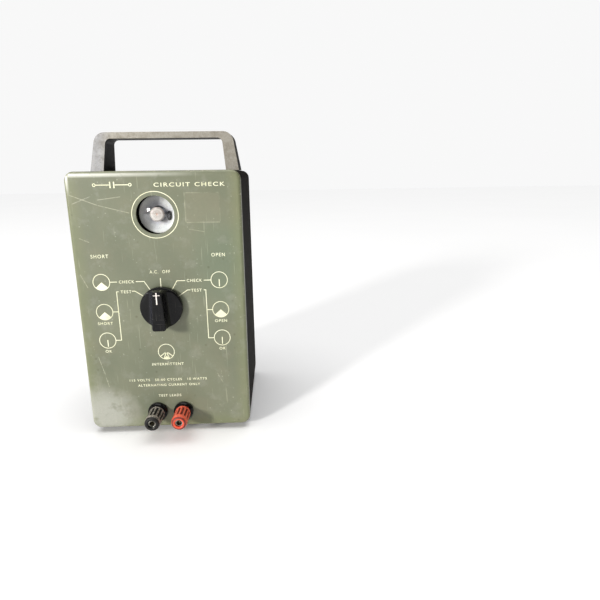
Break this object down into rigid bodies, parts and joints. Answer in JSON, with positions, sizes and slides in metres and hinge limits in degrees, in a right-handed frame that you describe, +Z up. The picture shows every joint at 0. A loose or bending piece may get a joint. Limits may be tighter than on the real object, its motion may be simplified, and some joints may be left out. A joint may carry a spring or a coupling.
{
  "type": "in-circuit capacitor tester",
  "caption": "Upright steel bench tester with a round electron-ray eye, a bar knob on a rotary switch, two screw-down binding posts and a cast carrying handle.",
  "frame": {"origin": "middle of the base of the whole box, in the plane of the rubber feet", "axes": "+Z up, +X to the right as seen from the front, -Y towards the user (the front panel faces -Y)"},
  "size_m": [0.1174, 0.1376, 0.2197],
  "materials": {
    "panel_paint": "hammer-free smooth sage-green enamel, worn",
    "cabinet_paint": "dark charcoal enamel",
    "handle_casting": "worn grey painted casting",
    "bakelite": "polished black phenolic",
    "red_plastic": "red moulded plastic",
    "nickel_plate": "dull nickel plate",
    "zinc_steel": "zinc-plated steel",
    "brass": "turned brass",
    "rubber": "matt black rubber",
    "tube_glass": "clear glass",
    "electrode_metal": "grey nickel electrodes",
    "phosphor": "pale phosphor coating",
    "phenolic_sheet": "brown phenolic board",
    "core_steel": "laminated core",
    "winding": "varnished winding",
    "capacitor_can": "drawn aluminium can",
    "selenium_plates": "painted selenium plates",
    "resistor_body": "moulded composition body",
    "waxed_paper": "waxed paper tube",
    "wire_jacket": "cloth and plastic insulation"
  },
  "bodies": {
    "root": {"front_panel": "panel_paint", "cabinet_shell": "cabinet_paint", "handle": "handle_casting", "handle_screws": "zinc_steel", "handle_washers": "zinc_steel", "rubber_feet": "rubber", "rear_screws": "zinc_steel", "cord_grommet": "rubber", "switch_frame": "nickel_plate", "switch_nut": "nickel_plate", "switch_lockwasher": "zinc_steel", "detent_spring": "zinc_steel", "wafer_stator": "phenolic_sheet", "wafer_contacts": "brass", "switch_spacers": "brass", "switch_tie_screws": "zinc_steel", "black_post_base": "bakelite", "black_post_stud": "nickel_plate", "red_post_base": "bakelite", "red_post_stud": "nickel_plate", "post_insulators": "phenolic_sheet", "post_nuts": "brass", "post_solder_lugs": "nickel_plate", "eye_tube_glass": "tube_glass", "eye_tube_base": "bakelite", "eye_tube_pins": "nickel_plate", "eye_target": "phosphor", "eye_cathode_cap": "electrode_metal", "eye_tube_anode": "electrode_metal", "eye_tube_socket": "bakelite", "eye_tube_bracket": "zinc_steel", "chassis_plate": "zinc_steel", "transformer_core": "core_steel", "transformer_coil": "winding", "transformer_frame": "zinc_steel", "chassis_screws": "zinc_steel", "filter_capacitor": "capacitor_can", "capacitor_clip": "zinc_steel", "oscillator_tube_glass": "tube_glass", "oscillator_tube_plate": "electrode_metal", "oscillator_tube_socket": "phenolic_sheet", "rf_coil_form": "phenolic_sheet", "rf_coil_winding": "winding", "selenium_rectifier": "selenium_plates", "rectifier_screw": "zinc_steel", "terminal_strip": "phenolic_sheet", "strip_screws": "zinc_steel", "strip_lugs": "nickel_plate", "resistors": "resistor_body", "paper_capacitors": "waxed_paper", "hookup_wires": "wire_jacket"},
    "selector": {"knob": "bakelite", "knob_set_screw": "zinc_steel", "switch_shaft": "nickel_plate", "detent_wheel": "zinc_steel", "wafer_rotor": "phenolic_sheet"},
    "black_clamp": {"black_post_washer": "nickel_plate"},
    "black_cap": {"black_post_cap": "bakelite"},
    "red_clamp": {"red_post_washer": "nickel_plate"},
    "red_cap": {"red_post_cap": "red_plastic"}
  },
  "joints": [
    {"name": "selector_turn", "type": "hinge", "parent": "root", "child": "selector", "pos_m": [0, -0.0473, 0.09765], "axis": [0, -1, 0], "range_deg": [-60, 60]},
    {"name": "black_cap_travel", "type": "slide", "parent": "root", "child": "black_clamp", "axis": [0, -1, 0], "range_m": [0, 0.00476]},
    {"name": "black_cap_turn", "type": "hinge", "parent": "black_clamp", "child": "black_cap", "pos_m": [-0.00953, -0.0473, 0.0167], "axis": [0, -1, 0], "range_deg": [0, 2160]},
    {"name": "red_cap_travel", "type": "slide", "parent": "root", "child": "red_clamp", "axis": [0, -1, 0], "range_m": [0, 0.00476]},
    {"name": "red_cap_turn", "type": "hinge", "parent": "red_clamp", "child": "red_cap", "pos_m": [0.00953, -0.0473, 0.0167], "axis": [0, -1, 0], "range_deg": [0, 2160]}
  ],
  "couplings": [
    {"joint": "black_cap_turn", "follows": "black_cap_travel", "rad_per_m": 7915.8},
    {"joint": "red_cap_turn", "follows": "red_cap_travel", "rad_per_m": 7915.8}
  ]
}
